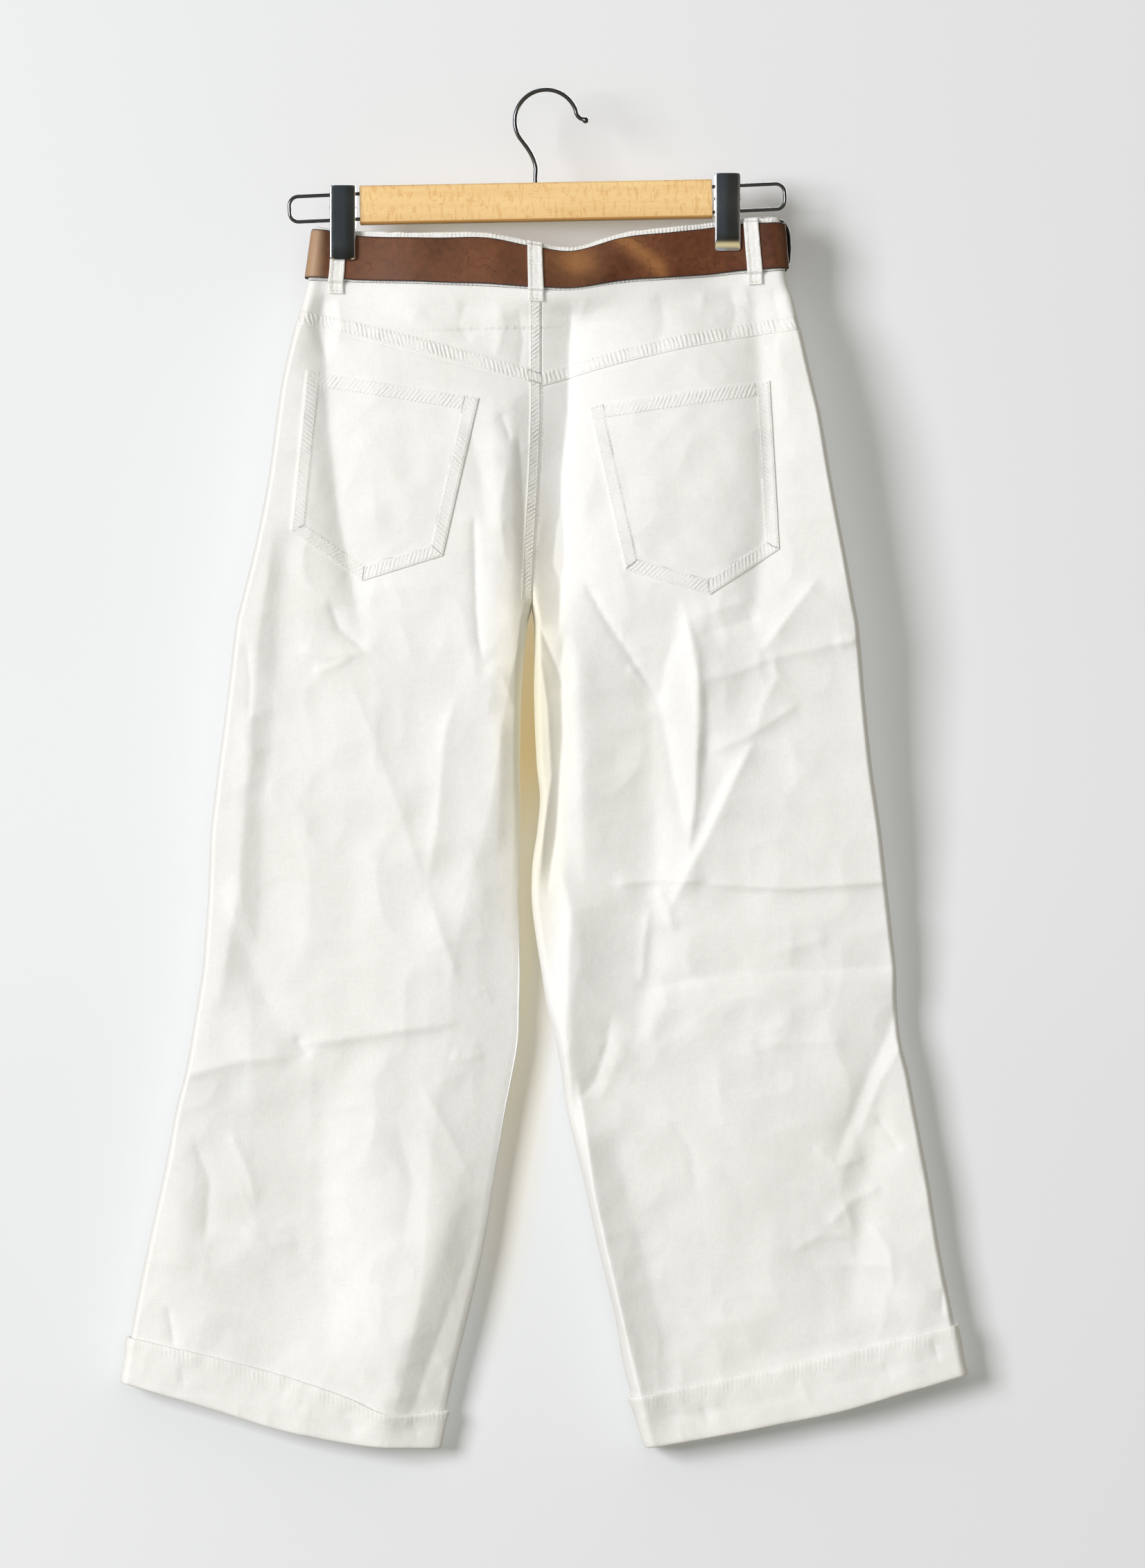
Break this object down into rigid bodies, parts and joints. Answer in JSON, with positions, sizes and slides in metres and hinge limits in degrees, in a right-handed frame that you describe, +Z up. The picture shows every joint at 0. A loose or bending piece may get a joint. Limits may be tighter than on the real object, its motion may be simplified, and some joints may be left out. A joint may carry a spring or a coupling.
{
  "type": "wide leg jeans with a leather belt, hung on a clip hanger",
  "caption": "Wide leg jeans with turned-up cuffs, patch pockets and a leather belt, hung flat by the waist from a wooden clip hanger with a wire hook.",
  "frame": {"origin": "inside top of the hanger's hook, where a rail or nail carries it", "axes": "+Z up, -Y towards the wearer's back, +X the wearer's right"},
  "size_m": [0.6613, 0.0492, 1.061],
  "materials": {
    "denim": "off-white cotton denim",
    "belt_leather": "waxed brown leather",
    "buckle_metal": "glossy black",
    "button_metal": "satin",
    "beech": "clear lacquered beech",
    "chrome_wire": "bright plated wire",
    "chrome_sheet": "bright plated sheet"
  },
  "bodies": {
    "root": {"back_left": "denim", "back_right": "denim", "front_left": "denim", "front_right": "denim", "yoke_left": "denim", "yoke_right": "denim", "waistband": "denim", "cuff_left": "denim", "cuff_right": "denim", "pocket_left": "denim", "pocket_right": "denim", "fly": "denim", "belt_loop_back_left": "denim", "belt_loop_back_centre": "denim", "belt_loop_back_right": "denim", "belt_loop_front_left": "denim", "belt_loop_front_right": "denim", "waist_button": "button_metal", "belt_strap": "belt_leather", "belt_keeper": "belt_leather", "buckle_frame": "buckle_metal", "buckle_prong": "buckle_metal", "hanger_bar": "beech", "hook": "chrome_wire", "wire_loop_left": "chrome_wire", "wire_loop_right": "chrome_wire", "clip_left_jaw_back": "chrome_sheet", "clip_left_jaw_front": "chrome_sheet", "clip_left_pin": "chrome_wire", "clip_left_spring": "chrome_wire", "clip_right_jaw_back": "chrome_sheet", "clip_right_jaw_front": "chrome_sheet", "clip_right_pin": "chrome_wire", "clip_right_spring": "chrome_wire"}
  },
  "joints": []
}
